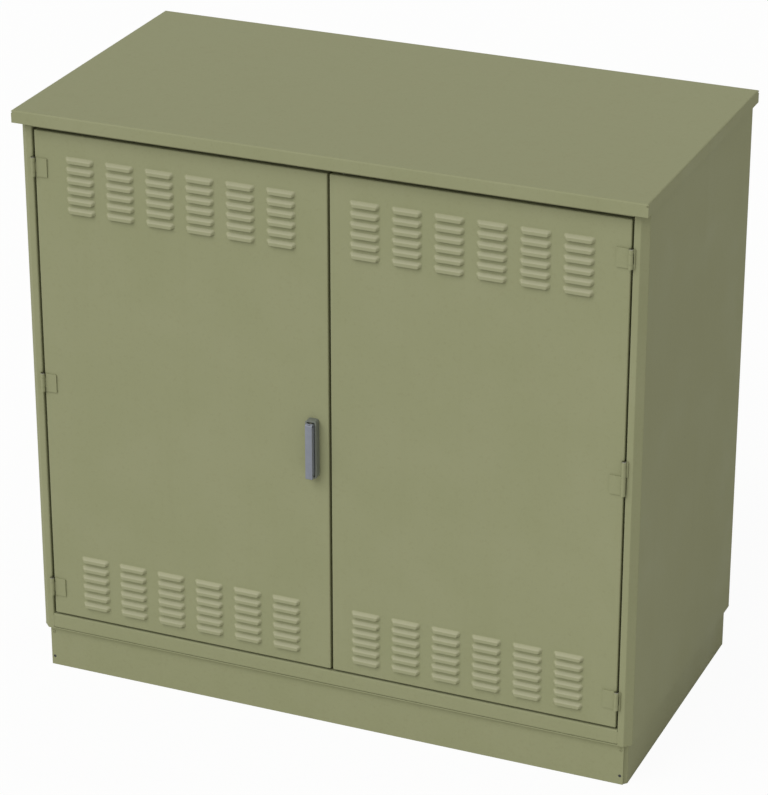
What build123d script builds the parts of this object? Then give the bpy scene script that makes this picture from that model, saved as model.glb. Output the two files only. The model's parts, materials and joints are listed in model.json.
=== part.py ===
from build123d import *
from math import cos, pi, radians, sin, tan
import os

os.makedirs("parts", exist_ok=True)

# Roadside utility cabinet, in millimetres. X runs along the doors, Y into the cabinet, Z up.
# The origin is the centre of the plinth's floor bolts, at ground level.

# Cabinet body, folded from sheet
body_width = 1200
body_depth = 606
overall_height = 1146
sheet = 2
bend_radius = 2
corner_chamfer = 13
rear_return = 40
flange = 28

# Plinth
plinth_height = 84
plinth_inset = 7
plinth_chamfer = 7
plinth_return = 26
plinth_flange = 44
anchor_from_side = 100
anchor_hole_radius = 6.5
corner_hole_radius = 3
corner_hole_inset = 6
corner_hole_heights = (18, 73)

# Roof tray
roof_lip = 24
roof_side_overhang = 5
roof_front_overhang = 18
roof_rear_overhang = 4
roof_edge_radius = 3
relief_size = 2.6

# Door opening
stile_width = 25.5
sill_height = 32
header_height = 32
rebate_depth = 36
stop_lip = 18
door_gap = 4.4
centre_gap_x = 11
centre_gap = 4.4

# Door skins
door_sheet = 1.5
door_depth = 27
door_return = 18
door_edge_radius = 2.4
seal_width = 9
seal_inset = 3
seal_clearance = 0.3

# Louvre banks, pressed hoods that open downwards
louvre_rows = 6
louvre_width = 58
louvre_front_width = 46
louvre_height = 13
louvre_front_height = 5
louvre_depth = 6
louvre_mouth = 1
louvre_pitch_x = 79.6
louvre_pitch_z = 19.4
bank_shift = 5.55
upper_bank_drop = 101.6
lower_bank_rise = 74.6
bank_clearance = 4
bank_side_room = 92

# Filter tray behind each bank
tray_depth = 10
filter_clearance = 0.5
window_width = 60
window_margin = 10

# Stiffeners
hat_half = 22
hat_slope = 4
hat_depth = 14
hat_foot = 14
stiffener_rise = 220
stiffener_drop = 258
stiffener_end = 30

# Hinges
lower_hinge_rise = 57.6
middle_hinge_z = 608
upper_hinge_drop = 70.6
hinge_height = 36
hinge_tall_upper = 30
knuckle_radius = 4.2
knuckle_gap = 0.3
leaf_thickness = 2.5
door_leaf_width = 27
frame_leaf_width = 7
leaf_relief = 0.8
hinge_pin_radius = 2
running_clearance = 0.05
pin_head = 1.2

# Swing handle on the left door
spindle_x = -21
spindle_z = 623.5
base_width = 22
base_depth = 14
base_bottom = 517
base_top = 632
base_round = 5
boss_radius = 8
boss_length = 8
boss_nut_width = 24
boss_nut_height = 4
lever_width = 13.6
lever_thickness = 10
lever_bottom = 518.5
lever_clearance = 0.4
fork_width = 6
fork_clearance = 0.4
fork_depth = 12
fork_skin = 1.2
lug_radius = 3.4
lever_pin_radius = 2
spindle_radius = 4
spindle_square = 5.6
base_edge = 0.8
lever_edge = 1.5
lever_scoop = 14
lever_tip = 3

# Lock cam, rods and guides
cam_thickness = 3
cam_throw = 16
cam_pin_radius = 3
cam_rim = 6
cam_setback = 9.5
rod_thickness = 3
rod_width = 12
rod_play = 0.6
running_gap = 0.3
slot_play = 0.8
slot_rim = 3
keeper_clearance = 1
rod_opening = 1
guide_height = 10
guide_wall = 3
guide_from_spindle = 110
guide_from_end = 105

# Slide bolts of the right door
bolt_x = 36
bolt_radius = 4
bolt_length = 130
bolt_setback = 12
knob_radius = 3
knob_length = 14
bolt_point = 1.5
knob_from_tip = 62
lug_thickness = 10
lug_width = 16
lug_from_tip = (28, 100)

# Inside of the cabinet
plate_side_gap = 70
plate_floor_gap = 94
plate_roof_gap = 64
plate_thickness = 2.5
plate_edge = 15
plate_setback = 60
standoff_radius = 8
stud_radius = 4
standoff_inset = 40
nut_width = 13
nut_height = 6.5
gland_opening_width = 620
gland_opening_depth = 200
gland_overlap = 25
gland_corner = 3
gland_count = 6
gland_spacing = 96
gland_hole_radius = 20.25
screw_radius = 3
screw_head_radius = 5.5
screw_head_height = 3
fixing_from_side = 100
bolt_hole_clearance = 0.4
earth_from_side = 100
earth_y = -200
earth_height = 28

# Places worked out from those sizes
half_sheet = sheet / 2
front = -body_depth / 2
back = body_depth / 2
side = body_width / 2
floor_top = plinth_height + sheet
body_top = overall_height - sheet
opening_half = side - stile_width
opening_bottom = plinth_height + sill_height
opening_top = body_top - header_height
stop_front = front + rebate_depth - sheet
skin_back = front + door_sheet
door_back = front + door_depth
door_bottom = opening_bottom + door_gap
door_top = opening_top - door_gap
door_half = opening_half - door_gap
hinge_x = opening_half - door_gap / 2
hinge_y = front - knuckle_radius - knuckle_gap
hinge_heights = (door_bottom + lower_hinge_rise, middle_hinge_z, door_top - upper_hinge_drop)
bank_centre_x = door_half / 2 - bank_shift
bank_room = door_half - centre_gap_x - bank_side_room
louvre_columns = int((bank_room - louvre_width) / louvre_pitch_x) + 1
bank_heights = (door_top - upper_bank_drop, door_bottom + lower_bank_rise)
bank_width = (louvre_columns - 1) * louvre_pitch_x + louvre_width
bank_height = (louvre_rows - 1) * louvre_pitch_z + louvre_height
stiffener_heights = (door_bottom + stiffener_rise, door_top - stiffener_drop)
anchor_spacing_x = body_width - 2 * anchor_from_side
anchor_y = back - plinth_inset - plinth_flange / 2
fixing_spacing_x = body_width - 2 * fixing_from_side
earth_x = -(side - earth_from_side)
plinth_bolt_y = back - flange - nut_width
back_inner = back - 2 * sheet
cam_front = skin_back + cam_setback
cam_back = cam_front + cam_thickness
rod_front = cam_back + rod_play
rod_back = rod_front + rod_thickness
rod_y = (rod_front + rod_back) / 2
pin_rise = cam_throw * sin(radians(45))
pin_near = cam_throw * cos(radians(45))
upper_rod_x = spindle_x + (pin_near + cam_throw) / 2
lower_rod_x = spindle_x - (pin_near + cam_throw) / 2
bolt_y = skin_back + bolt_setback
lever_back = front - base_depth - lever_clearance
lever_front = lever_back - lever_thickness
lever_pin_y = (lever_back + lever_front) / 2
plate_front = back - plate_setback
plate_width = body_width - 2 * plate_side_gap
plate_low = floor_top + plate_floor_gap
plate_high = body_top - plate_roof_gap
plate_height = plate_high - plate_low
plate_centre_z = (plate_low + plate_high) / 2


def save(part, name):
    part.label = name
    export_step(part, f"parts/{name}.step")


def folded(points, plane, start, length, thickness=sheet):
    # One sheet bent along the given line, which is the middle of its thickness.
    with BuildPart() as piece:
        with BuildSketch(plane.offset(start)):
            with BuildLine():
                FilletPolyline(*points, radius=bend_radius)
            trace(line_width=thickness)
        extrude(amount=length)
    return piece.part


# Side panels: stile, chamfered corners and rear return in one folded sheet
def side_panel():
    turn = corner_chamfer + half_sheet * tan(pi / 8)
    stop_y = stop_front + half_sheet
    points = [
        (opening_half - stop_lip, stop_y),
        (opening_half + half_sheet, stop_y),
        (opening_half + half_sheet, front + half_sheet),
        (side - turn, front + half_sheet),
        (side - half_sheet, front + turn),
        (side - half_sheet, back - turn),
        (side - turn, back - half_sheet),
        (side - rear_return, back - half_sheet),
    ]
    return folded(points, Plane.XY, floor_top, body_top - floor_top)


right_side_panel = side_panel()
left_side_panel = mirror(right_side_panel, about=Plane.YZ)
save(left_side_panel, "left_side_panel")
save(right_side_panel, "right_side_panel")


# Back panel, with a flange at the top that carries the roof
with BuildPart() as back_panel:
    back_half = side - corner_chamfer - sheet - bend_radius
    back_line = [
        (back_inner + half_sheet, floor_top),
        (back_inner + half_sheet, body_top - half_sheet),
        (back_inner - flange, body_top - half_sheet),
    ]
    add(folded(back_line, Plane.YZ, -back_half, 2 * back_half))
    with Locations(Plane.XY.offset(body_top)):
        with Locations((0, back_inner - flange / 2)):
            with GridLocations(fixing_spacing_x, 0, 2, 1):
                Hole(screw_radius + bolt_hole_clearance, depth=2 * sheet)
save(back_panel.part, "back_panel")


# Header and sill: the door rebate is folded in, and two holes keep the ends of a lock rod
# and a slide bolt. The notches at the ends clear the bends of the side panels.
def frame_rail(points, rebate_low, keeper_x):
    with BuildPart() as rail:
        add(folded(points, Plane.YZ, -opening_half, 2 * opening_half))
        with BuildSketch(Plane.XY.offset(rebate_low)):
            for end in (-1, 1):
                with Locations((end * (opening_half - stop_lip / 2), stop_front)):
                    Rectangle(stop_lip, 2 * (bend_radius - half_sheet))
            with Locations((keeper_x, rod_y)):
                Rectangle(rod_width + 2 * rod_opening, rod_thickness + 2 * rod_opening)
            with Locations((bolt_x, bolt_y)):
                Circle(bolt_radius + rod_opening)
        extrude(amount=sheet, mode=Mode.SUBTRACT)
    return rail.part


header_line = [
    (stop_front, opening_top + half_sheet),
    (front + half_sheet, opening_top + half_sheet),
    (front + half_sheet, body_top - half_sheet),
    (front + flange, body_top - half_sheet),
]
sill_line = [
    (stop_front, opening_bottom - half_sheet),
    (front + half_sheet, opening_bottom - half_sheet),
    (front + half_sheet, floor_top + half_sheet),
    (front + flange, floor_top + half_sheet),
]
with BuildPart() as header:
    add(frame_rail(header_line, opening_top, upper_rod_x))
    with Locations(Plane.XY.offset(body_top)):
        with Locations((0, front + flange / 2)):
            with GridLocations(fixing_spacing_x, 0, 2, 1):
                Hole(screw_radius + bolt_hole_clearance, depth=2 * sheet)
save(header.part, "header")
save(frame_rail(sill_line, opening_bottom - sheet, lower_rod_x), "sill")


# Stop strips welded behind the header and the sill, between the stop lips of the side panels
with BuildPart() as door_stops:
    for low in (opening_top - stop_lip, opening_bottom - sheet):
        with BuildSketch(Plane.XY.offset(low)):
            with Locations((0, stop_front + half_sheet)):
                Rectangle(2 * (opening_half - stop_lip), sheet)
        extrude(amount=stop_lip + sheet)
save(door_stops.part, "door_stops")


# Floor plate with its cable opening
with BuildPart() as floor_plate:
    with BuildSketch(Plane.XY.offset(plinth_height)) as floor_outline:
        Rectangle(body_width, body_depth)
        chamfer(floor_outline.vertices(), corner_chamfer)
        Rectangle(gland_opening_width, gland_opening_depth, mode=Mode.SUBTRACT)
        with GridLocations(anchor_spacing_x, 2 * plinth_bolt_y, 2, 2):
            Circle(stud_radius + bolt_hole_clearance, mode=Mode.SUBTRACT)
        with GridLocations(gland_opening_width, gland_opening_depth + gland_overlap, 2, 2):
            Circle(screw_radius + bolt_hole_clearance, mode=Mode.SUBTRACT)
    extrude(amount=sheet)
save(floor_plate.part, "floor_plate")


with BuildPart() as gland_plate:
    with BuildSketch(Plane.XY.offset(floor_top)) as gland_outline:
        Rectangle(gland_opening_width + 2 * gland_overlap, gland_opening_depth + 2 * gland_overlap)
        chamfer(gland_outline.vertices(), gland_corner)
        with GridLocations(gland_spacing, 0, gland_count, 1):
            Circle(gland_hole_radius, mode=Mode.SUBTRACT)
        with GridLocations(gland_opening_width, gland_opening_depth + gland_overlap, 2, 2):
            Circle(screw_radius + bolt_hole_clearance, mode=Mode.SUBTRACT)
    extrude(amount=sheet)
save(gland_plate.part, "gland_plate")


# Roof: one tray with welded corners and a small relief hole where the folds meet
with BuildPart() as roof:
    roof_width = body_width + 2 * roof_side_overhang
    roof_length = body_depth + roof_front_overhang + roof_rear_overhang
    roof_centre = (0, (roof_rear_overhang - roof_front_overhang) / 2)
    with BuildSketch(Plane.XY.offset(overall_height - roof_lip)):
        with Locations(roof_centre):
            Rectangle(roof_width, roof_length)
    extrude(amount=roof_lip)
    fillet(roof.faces().sort_by(Axis.Z)[-1].edges(), roof_edge_radius)
    with BuildSketch(Plane.XY.offset(overall_height - roof_lip)):
        with Locations(roof_centre):
            Rectangle(roof_width - 2 * sheet, roof_length - 2 * sheet)
    extrude(amount=roof_lip - sheet, mode=Mode.SUBTRACT)
    with BuildSketch(Plane.XY.offset(overall_height - roof_edge_radius - relief_size)):
        with Locations(roof_centre):
            with GridLocations(roof_width, roof_length, 2, 2):
                Rectangle(2 * relief_size, 2 * relief_size, rotation=45)
    extrude(amount=relief_size, mode=Mode.SUBTRACT)
save(roof.part, "roof")


# Plinth: sides wrap the corners, front and rear close it between them
def plinth_side():
    outer_x = side - plinth_inset - half_sheet
    outer_y = back - plinth_inset - half_sheet
    turn = plinth_chamfer + half_sheet * tan(pi / 8) - half_sheet
    step = outer_y - sheet
    points = [
        (outer_x - turn - plinth_return, -step),
        (outer_x - turn - sheet, -step),
        (outer_x - sheet / 2, -step + turn + sheet / 2),
        (outer_x - sheet / 2, step - turn - sheet / 2),
        (outer_x - turn - sheet, step),
        (outer_x - turn - plinth_return, step),
    ]
    return folded(points, Plane.XY, 0, plinth_height)


right_plinth_side = plinth_side()
save(mirror(right_plinth_side, about=Plane.YZ), "plinth_left_side")
save(right_plinth_side, "plinth_right_side")


corner_hole_x = side - plinth_inset - plinth_chamfer - corner_hole_inset
corner_holes = [(x, z) for x in (-corner_hole_x, corner_hole_x) for z in corner_hole_heights]


def plinth_panel(y_face, inward):
    # C-section between the two sides, with its lower flange bolted to the ground.
    outer_x = side - plinth_inset
    face_half = outer_x - plinth_chamfer
    flange_half = face_half - plinth_return - sheet
    with BuildPart() as panel:
        with BuildSketch(Plane.XY):
            with Locations((0, y_face + inward * half_sheet)):
                Rectangle(2 * face_half, sheet)
        extrude(amount=plinth_height)
        for z in (0, plinth_height - sheet):
            with BuildSketch(Plane.XY.offset(z)):
                with Locations((0, y_face + inward * plinth_flange / 2)):
                    Rectangle(2 * flange_half, plinth_flange)
            extrude(amount=sheet)
        panel_edges = panel.edges().filter_by(Axis.X).group_by(Axis.Y)
        outer_edges = panel_edges[0] if inward > 0 else panel_edges[-1]
        fillet(outer_edges, half_sheet)
        with BuildSketch(Plane.XZ.offset(-y_face)):
            with Locations(*corner_holes):
                Circle(corner_hole_radius)
        extrude(amount=sheet, both=True, mode=Mode.SUBTRACT)
        with Locations(Plane.XY.offset(sheet)):
            with Locations((0, inward * (-anchor_y))):
                with GridLocations(anchor_spacing_x, 0, 2, 1):
                    Hole(anchor_hole_radius, depth=sheet)
        with Locations(Plane.XY.offset(plinth_height)):
            with Locations((0, inward * (-plinth_bolt_y))):
                with GridLocations(anchor_spacing_x, 0, 2, 1):
                    Hole(stud_radius + bolt_hole_clearance, depth=sheet)
    return panel.part


save(plinth_panel(front + plinth_inset, 1), "plinth_front")
save(plinth_panel(back - plinth_inset, -1), "plinth_rear")


# Doors: a folded tray skin with pressed louvres
with BuildPart() as hood:
    # Outside of one louvre, centred on its width, with its mouth at the origin's height.
    with BuildSketch(Plane.XZ.offset(-front)):
        with Locations((0, louvre_height / 2)):
            Rectangle(louvre_width, louvre_height)
    with BuildSketch(Plane.XZ.offset(-front + louvre_depth)):
        with Locations((0, louvre_front_height / 2)):
            Rectangle(louvre_front_width, louvre_front_height)
    loft()

with BuildPart() as hood_hollow:
    # The same form inside the sheet, run through the skin and out of the mouth.
    with BuildSketch(Plane.XZ.offset(-front - 2 * door_sheet)):
        with Locations((0, louvre_height / 2 - louvre_mouth)):
            Rectangle(louvre_width - door_sheet, louvre_height)
    with BuildSketch(Plane.XZ.offset(-front + louvre_depth - door_sheet)):
        with Locations((0, louvre_front_height / 2 - louvre_mouth)):
            Rectangle(louvre_front_width - 2 * door_sheet, louvre_front_height)
    loft()


def louvre_places(hand):
    for bank_z in bank_heights:
        for column in range(louvre_columns):
            for row in range(louvre_rows):
                x = hand * bank_centre_x + (column - (louvre_columns - 1) / 2) * louvre_pitch_x
                z = bank_z + (row - (louvre_rows - 1) / 2) * louvre_pitch_z - louvre_height / 2
                yield (x, 0, z)


def door_skin(left, right, hand, fold_holes):
    middle = (left + right) / 2
    width = right - left
    height = door_top - door_bottom
    centre_z = (door_top + door_bottom) / 2
    places = list(louvre_places(hand))
    with BuildPart() as skin:
        with BuildSketch(Plane.XZ.offset(-front)):
            with Locations((middle, centre_z)):
                Rectangle(width, height)
        extrude(amount=-door_depth)
        fillet(skin.faces().sort_by(Axis.Y)[0].edges(), door_edge_radius)
        with BuildSketch(Plane.XZ.offset(-skin_back)):
            with Locations((middle, centre_z)):
                Rectangle(width - 2 * door_sheet, height - 2 * door_sheet)
        extrude(amount=-(door_depth - 2 * door_sheet), mode=Mode.SUBTRACT)
        with BuildSketch(Plane.XZ.offset(-door_back)):
            with Locations((middle, centre_z)):
                Rectangle(width - 2 * door_return, height - 2 * door_return)
        extrude(amount=2 * door_sheet, mode=Mode.SUBTRACT)
        for x, y, z, hole_width, hole_depth in fold_holes:
            with BuildSketch(Plane.XY.offset(z)):
                with Locations((x, y)):
                    Rectangle(hole_width + 2 * running_gap, hole_depth + 2 * running_gap)
            extrude(amount=door_edge_radius, both=True, mode=Mode.SUBTRACT)
        with Locations(*places):
            add(hood.part)
        with Locations(*places):
            add(hood_hollow.part, mode=Mode.SUBTRACT)
    return skin.part


left_door_edges = (-door_half, centre_gap_x - centre_gap / 2)
right_door_edges = (centre_gap_x + centre_gap / 2, door_half)
rod_holes = [
    (upper_rod_x, rod_y, door_top, rod_width, rod_thickness),
    (lower_rod_x, rod_y, door_bottom, rod_width, rod_thickness),
]
bolt_holes = [(bolt_x, bolt_y, z, 2 * bolt_radius, 2 * bolt_radius) for z in (door_top, door_bottom)]
with BuildPart() as left_door_skin:
    add(door_skin(*left_door_edges, -1, rod_holes))
    with BuildSketch(Plane.XZ.offset(-front)):
        with Locations((spindle_x, spindle_z)):
            Circle(boss_radius + running_clearance)
    extrude(amount=-2 * door_sheet, mode=Mode.SUBTRACT)
save(left_door_skin.part, "left_door_skin")
save(door_skin(*right_door_edges, 1, bolt_holes), "right_door_skin")


# Foam seals on the returns of the doors, just clear of the stop lips
def door_seal(left, right):
    width = right - left - 2 * seal_inset
    height = door_top - door_bottom - 2 * seal_inset
    with BuildPart() as seal:
        with BuildSketch(Plane.XZ.offset(-door_back)):
            with Locations(((left + right) / 2, (door_top + door_bottom) / 2)):
                Rectangle(width, height)
                Rectangle(width - 2 * seal_width, height - 2 * seal_width, mode=Mode.SUBTRACT)
        extrude(amount=-(stop_front - door_back - seal_clearance))
    return seal.part


save(door_seal(*left_door_edges), "left_door_seal")
save(door_seal(*right_door_edges), "right_door_seal")


# Filter trays and mats behind the louvres
def filter_trays(x):
    tray_width = bank_width + 2 * bank_clearance
    tray_height = bank_height + 2 * bank_clearance
    banks = [(x, z) for z in bank_heights]
    with BuildPart() as trays:
        with BuildSketch(Plane.XZ.offset(-skin_back)):
            with Locations(*banks):
                Rectangle(tray_width, tray_height)
        extrude(amount=-tray_depth)
        with BuildSketch(Plane.XZ.offset(-skin_back)):
            with Locations(*banks):
                Rectangle(tray_width - 2 * door_sheet, tray_height - 2 * door_sheet)
        extrude(amount=-(tray_depth - door_sheet), mode=Mode.SUBTRACT)
        with BuildSketch(Plane.XZ.offset(-skin_back - tray_depth)):
            with Locations(*banks):
                with GridLocations(louvre_pitch_x, 0, louvre_columns, 1):
                    Rectangle(window_width, tray_height - 2 * window_margin)
        extrude(amount=-door_sheet, both=True, mode=Mode.SUBTRACT)
    return trays.part


def filter_mats(x):
    inset = bank_clearance - door_sheet - filter_clearance
    with BuildPart() as mats:
        with BuildSketch(Plane.XZ.offset(-skin_back - filter_clearance)):
            with Locations(*[(x, z) for z in bank_heights]):
                Rectangle(bank_width + 2 * inset, bank_height + 2 * inset)
        extrude(amount=-(tray_depth - door_sheet - filter_clearance))
    return mats.part


for door, hand in (("left", -1), ("right", 1)):
    save(filter_trays(hand * bank_centre_x), f"{door}_filter_trays")
    save(filter_mats(hand * bank_centre_x), f"{door}_filter_mats")


# Stiffeners: hat sections welded across the inside of each skin
def stiffeners(left, right):
    hat = [
        (-hat_foot - hat_half, 0),
        (-hat_half, 0),
        (-hat_half + hat_slope, hat_depth),
        (hat_half - hat_slope, hat_depth),
        (hat_half, 0),
        (hat_half + hat_foot, 0),
    ]
    with BuildPart() as bars:
        for z in stiffener_heights:
            plane = Plane(origin=(left, skin_back + door_sheet / 2, z), x_dir=(0, 0, 1), z_dir=(1, 0, 0))
            with BuildSketch(plane):
                with BuildLine():
                    Polyline(*[(u, -v) for u, v in hat])
                trace(line_width=door_sheet)
            extrude(amount=right - left)
    return bars.part


save(stiffeners(left_door_edges[0] + stiffener_end, lower_rod_x - rod_width), "left_door_stiffeners")
save(stiffeners(bolt_x + lug_width, right_door_edges[1] - stiffener_end), "right_door_stiffeners")


# Hinges: knuckles round one pin, with the axis just in front of the doors.
# Pieces are made for the left door and mirrored for the right one.
def hinge_leaf(axis_x, direction, leaf_width, low, high, knuckles):
    with BuildPart() as leaf:
        near = axis_x + direction * (knuckle_radius + leaf_relief)
        far = axis_x + direction * leaf_width
        with BuildSketch(Plane.XZ.offset(-front)):
            with Locations(((near + far) / 2, (low + high) / 2)):
                Rectangle(abs(far - near), high - low)
        extrude(amount=leaf_thickness)
        for start, end in knuckles:
            with BuildSketch(Plane.XY.offset(start)):
                with Locations((axis_x, hinge_y)):
                    Circle(knuckle_radius)
                with Locations(((axis_x + near) / 2, front - leaf_thickness / 2)):
                    Rectangle(abs(near - axis_x), leaf_thickness)
                with Locations((axis_x, hinge_y)):
                    Circle(hinge_pin_radius + running_clearance, mode=Mode.SUBTRACT)
            extrude(amount=end - start)
    return leaf.part


def hinge_pin(low, high):
    with BuildPart() as pin:
        with BuildSketch(Plane.XY.offset(low)):
            with Locations((-hinge_x, hinge_y)):
                Circle(hinge_pin_radius)
        extrude(amount=high - low)
        with BuildSketch(Plane.XY.offset(high)):
            with Locations((-hinge_x, hinge_y)):
                Circle(knuckle_radius)
        extrude(amount=pin_head)
    return pin.part


def butt_hinge(z):
    low = z - hinge_height / 2
    high = z + hinge_height / 2
    inner_low = low + hinge_height / 4
    inner_high = high - hinge_height / 4
    frame_knuckles = [(low, inner_low - knuckle_gap), (inner_high + knuckle_gap, high)]
    frame_leaf = hinge_leaf(-hinge_x, -1, frame_leaf_width, low, high, frame_knuckles)
    door_leaf = hinge_leaf(-hinge_x, 1, door_leaf_width, low, high, [(inner_low, inner_high)])
    return frame_leaf, door_leaf, hinge_pin(low, high)


def tall_hinge(z):
    # The frame's knuckle stands above the door's, so that the door can't be lifted off.
    low = z - hinge_height / 2
    high = z + hinge_height / 2
    top = high + hinge_tall_upper
    frame_low = high + knuckle_gap
    frame_leaf = hinge_leaf(-hinge_x, -1, frame_leaf_width, frame_low, top, [(frame_low, top)])
    door_leaf = hinge_leaf(-hinge_x, 1, door_leaf_width, low, high, [(low, high)])
    return frame_leaf, door_leaf, hinge_pin(low, top)


for door in ("left", "right"):
    hinges = [butt_hinge(z) for z in hinge_heights]
    if door == "right":
        hinges[1] = tall_hinge(middle_hinge_z)
        hinges = [[mirror(piece, about=Plane.YZ) for piece in hinge] for hinge in hinges]
    for pieces, name in zip(zip(*hinges), ("frame_leaves", "door_leaves", "hinge_pins")):
        save(Compound(children=list(pieces)), f"{door}_{name}")


# Swing handle: base with its threaded boss, boss nut, spindle, lever and lever pin
with BuildPart() as handle_base:
    base_middle = (base_bottom + base_top) / 2
    with BuildSketch(Plane.XZ.offset(-front)) as base_outline:
        with Locations((spindle_x, base_middle)):
            Rectangle(base_width, base_top - base_bottom)
        fillet(base_outline.vertices(), base_round)
    extrude(amount=base_depth)
    chamfer(handle_base.faces().sort_by(Axis.Y)[0].edges(), base_edge)
    with BuildSketch(Plane.XZ.offset(-front)):
        with Locations((spindle_x, spindle_z)):
            Circle(boss_radius)
    extrude(amount=-boss_length)
    with BuildSketch(Plane.XZ.offset(-front - boss_length)):
        with Locations((spindle_x, spindle_z)):
            Circle(spindle_radius + running_clearance)
    extrude(amount=boss_length + base_depth, mode=Mode.SUBTRACT)
save(handle_base.part, "handle_base")


with BuildPart() as handle_nut:
    with BuildSketch(Plane.XZ.offset(-skin_back)):
        with Locations((spindle_x, spindle_z)):
            RegularPolygon(boss_nut_width / 2, 6, major_radius=False)
            Circle(boss_radius + running_clearance, mode=Mode.SUBTRACT)
    extrude(amount=-boss_nut_height)
save(handle_nut.part, "handle_nut")


# The spindle turns in the base: a lug for the lever in front, a square for the cam behind
with BuildPart() as handle_spindle:
    with BuildSketch(Plane.XZ.offset(-lever_back)):
        with Locations((spindle_x, spindle_z)):
            Circle(spindle_radius)
    extrude(amount=-(cam_front - lever_back))
    with BuildSketch(Plane.XZ.offset(-cam_front)):
        with Locations((spindle_x, spindle_z)):
            Rectangle(spindle_square, spindle_square)
    extrude(amount=-cam_thickness)
    with BuildSketch(Plane.YZ.offset(spindle_x)):
        with Locations((lever_pin_y, spindle_z)):
            Circle(lug_radius)
        with Locations(((lever_pin_y + lever_back) / 2, spindle_z)):
            Rectangle(lever_back - lever_pin_y, 2 * lug_radius)
        with Locations((lever_pin_y, spindle_z)):
            Circle(lever_pin_radius + running_clearance, mode=Mode.SUBTRACT)
    extrude(amount=fork_width / 2, both=True)
save(handle_spindle.part, "handle_spindle")


with BuildPart() as handle_lever:
    with BuildSketch(Plane.YZ.offset(spindle_x)):
        with BuildLine():
            back_line = Line((lever_back, spindle_z), (lever_back, lever_bottom + lever_scoop))
            scoop_line = Line(back_line @ 1, (lever_front + lever_tip, lever_bottom))
            tip_line = Line(scoop_line @ 1, (lever_front, lever_bottom + lever_tip))
            front_line = Line(tip_line @ 1, (lever_front, spindle_z))
            ThreePointArc(front_line @ 1, (lever_pin_y, spindle_z + lever_thickness / 2), back_line @ 0)
        make_face()
        with Locations((lever_pin_y, spindle_z)):
            Circle(lever_pin_radius + running_clearance, mode=Mode.SUBTRACT)
    extrude(amount=lever_width / 2, both=True)
    chamfer(handle_lever.faces().sort_by(Axis.Y)[0].edges().filter_by(Axis.Z), lever_edge)
    with BuildSketch(Plane.XZ.offset(-lever_back - fork_clearance)):
        with Locations((spindle_x, spindle_z)):
            Rectangle(fork_width + 2 * fork_clearance, 2 * fork_depth)
    extrude(amount=lever_thickness + fork_clearance - fork_skin, mode=Mode.SUBTRACT)
save(handle_lever.part, "handle_lever")


with BuildPart() as lever_pin:
    with BuildSketch(Plane.YZ.offset(spindle_x)):
        with Locations((lever_pin_y, spindle_z)):
            Circle(lever_pin_radius)
    extrude(amount=lever_width / 2, both=True)
save(lever_pin.part, "lever_pin")


# Lock: a cam with two pins drives a rod up and a rod down
cam_pins = ((pin_near, pin_rise), (-pin_near, -pin_rise))
with BuildPart() as lock_cam:
    with BuildSketch(Plane.XZ.offset(-cam_front)):
        with Locations((spindle_x, spindle_z)):
            Circle(spindle_radius + cam_rim)
            SlotCenterToCenter(2 * cam_throw, 2 * cam_rim, rotation=45)
            Rectangle(spindle_square, spindle_square, mode=Mode.SUBTRACT)
    extrude(amount=-cam_thickness)
    with BuildSketch(Plane.XZ.offset(-cam_back)):
        with Locations(*[(spindle_x + u, spindle_z + v) for u, v in cam_pins]):
            Circle(cam_pin_radius)
    extrude(amount=-(rod_play + rod_thickness + rod_play))
save(lock_cam.part, "lock_cam")


def lock_rod(x, pin_x, pin_z, tip):
    # The cam's pin moves along the slot, which is as long as the pin's sideways travel.
    slot_half = (cam_throw - pin_near) / 2 + cam_pin_radius + slot_play
    slot_tall = 2 * (cam_pin_radius + slot_play)
    with BuildPart() as rod:
        with BuildSketch(Plane.XZ.offset(-rod_front)):
            with Locations((x, (pin_z + tip) / 2)):
                Rectangle(rod_width, abs(tip - pin_z))
            with Locations((x, pin_z)):
                Rectangle(2 * (slot_half + slot_rim), slot_tall + 2 * slot_rim)
                Rectangle(2 * slot_half, slot_tall, mode=Mode.SUBTRACT)
        extrude(amount=-rod_thickness)
    return rod.part


upper_rod = lock_rod(upper_rod_x, pin_near, spindle_z + pin_rise, opening_top - keeper_clearance)
lower_rod = lock_rod(lower_rod_x, -pin_near, spindle_z - pin_rise, opening_bottom + keeper_clearance)
save(upper_rod, "upper_lock_rod")
save(lower_rod, "lower_lock_rod")


# Saddles welded to the skin, each with a slot that a rod slides in
with BuildPart() as rod_guides:
    guide_width = rod_width + 2 * (running_gap + guide_wall)
    guide_back = rod_back + running_gap + guide_wall
    for x, low in (
        (upper_rod_x, door_top - guide_from_end - guide_height),
        (upper_rod_x, spindle_z + guide_from_spindle),
        (lower_rod_x, spindle_z - guide_from_spindle - guide_height),
        (lower_rod_x, door_bottom + guide_from_end),
    ):
        with BuildSketch(Plane.XY.offset(low)):
            with Locations((x, (skin_back + guide_back) / 2)):
                Rectangle(guide_width, guide_back - skin_back)
            with Locations((x, rod_y)):
                slot_width = rod_width + 2 * running_gap
                Rectangle(slot_width, rod_thickness + 2 * running_gap, mode=Mode.SUBTRACT)
        extrude(amount=guide_height)
save(rod_guides.part, "rod_guides")


# Slide bolts of the right door, each in a bracket with two lugs
def slide_bolt(tip, direction):
    with BuildPart() as bolt:
        with BuildSketch(Plane.XY.offset(tip)):
            with Locations((bolt_x, bolt_y)):
                Circle(bolt_radius)
        extrude(amount=-direction * bolt_length)
        chamfer(bolt.edges().group_by(Axis.Z)[-1 if direction > 0 else 0], bolt_point)
        with BuildSketch(Plane.XZ.offset(-bolt_y)):
            with Locations((bolt_x, tip - direction * knob_from_tip)):
                Circle(knob_radius)
        extrude(amount=-(bolt_radius + knob_length))
    return bolt.part


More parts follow.
